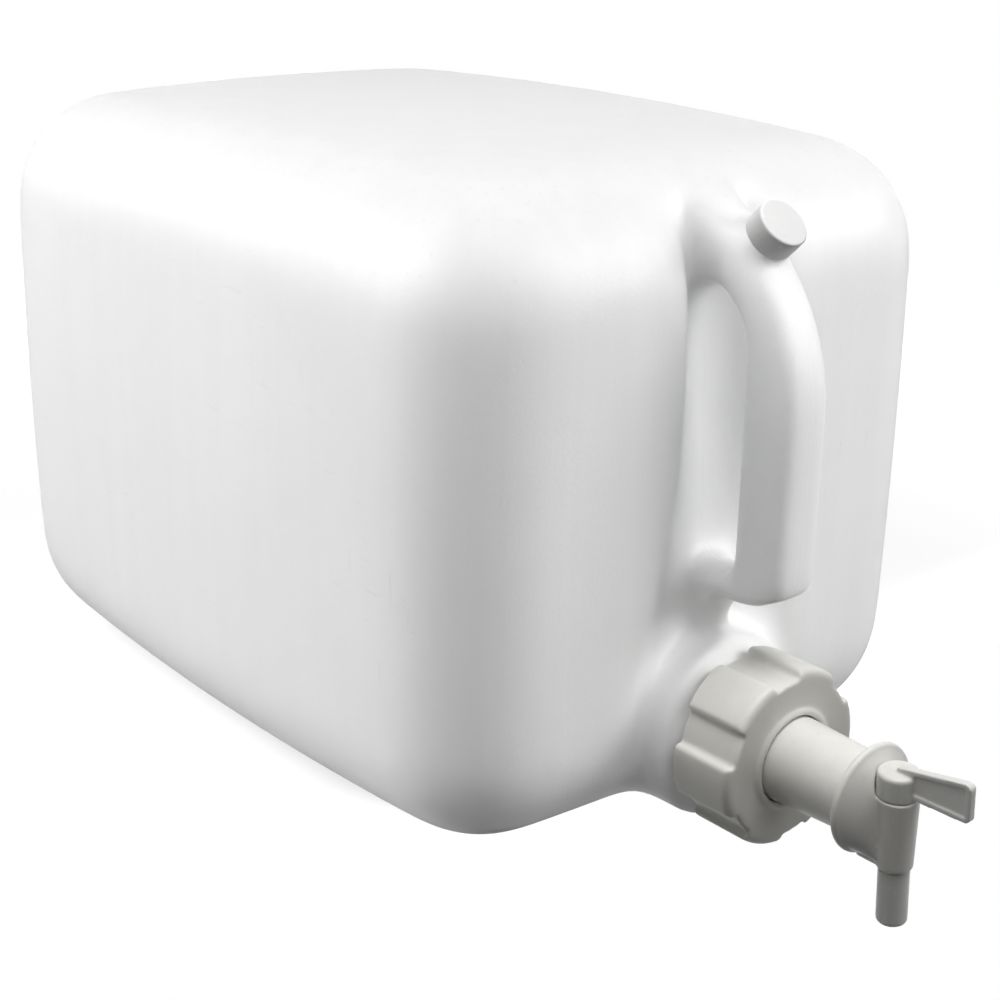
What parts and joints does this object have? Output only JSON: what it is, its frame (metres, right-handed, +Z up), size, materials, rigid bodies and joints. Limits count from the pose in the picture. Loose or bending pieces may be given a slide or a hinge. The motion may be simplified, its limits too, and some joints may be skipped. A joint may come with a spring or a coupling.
{
  "type": "carboy with spigot",
  "caption": "Square-sided plastic carboy lying on its side, with a loop handle, a vent cap and a lever spigot clamped on its neck.",
  "frame": {"origin": "middle of the flat underside on which the carboy lies", "axes": "+Z up, -Y out of the front with the handle and the neck, X across the body"},
  "size_m": [0.2608, 0.4603, 0.2619],
  "materials": {
    "shell": "natural blow-moulded polyethylene, milky white, semi-matt",
    "cap": "moulded polypropylene, ivory grey, satin",
    "gasket": "soft moulded ring",
    "spigot": "moulded polypropylene, ivory grey, satin",
    "key": "moulded polypropylene, satin",
    "vent": "moulded polypropylene, white, satin",
    "liner": "closed-cell foam disc"
  },
  "bodies": {
    "jug": {"container": "shell"},
    "spigot": {"spigot_body": "spigot", "neck_gasket": "gasket"},
    "lug_cap": {"spout_cap": "cap"},
    "key": {"spigot_key": "key"},
    "vent_seal": {"vent_liner": "liner"},
    "vent_screw_cap": {"vent_cap": "vent"}
  },
  "joints": [
    {"name": "spigot_pull", "type": "slide", "parent": "jug", "child": "spigot", "axis": [0, -1, 0], "range_m": [0, 0.0075]},
    {"name": "cap_turn", "type": "hinge", "parent": "spigot", "child": "lug_cap", "pos_m": [0, -0.1975, 0.0377], "axis": [0, -1, 0], "range_deg": [0, 540]},
    {"name": "key_turn", "type": "hinge", "parent": "spigot", "child": "key", "pos_m": [0, -0.2584, 0.0377], "axis": [-0.0698, 0, 0.9976], "range_deg": [-90, 90]},
    {"name": "vent_lift", "type": "slide", "parent": "jug", "child": "vent_seal", "axis": [0, -0.7193, 0.6947], "range_m": [0, 0.0045]},
    {"name": "vent_turn", "type": "hinge", "parent": "vent_seal", "child": "vent_screw_cap", "pos_m": [0, -0.1881, 0.2342], "axis": [0, -0.7193, 0.6947], "range_deg": [0, 540]}
  ],
  "couplings": [
    {"joint": "spigot_pull", "follows": "cap_turn", "m_per_rad": 0.0007957},
    {"joint": "vent_lift", "follows": "vent_turn", "m_per_rad": 0.00047742}
  ]
}
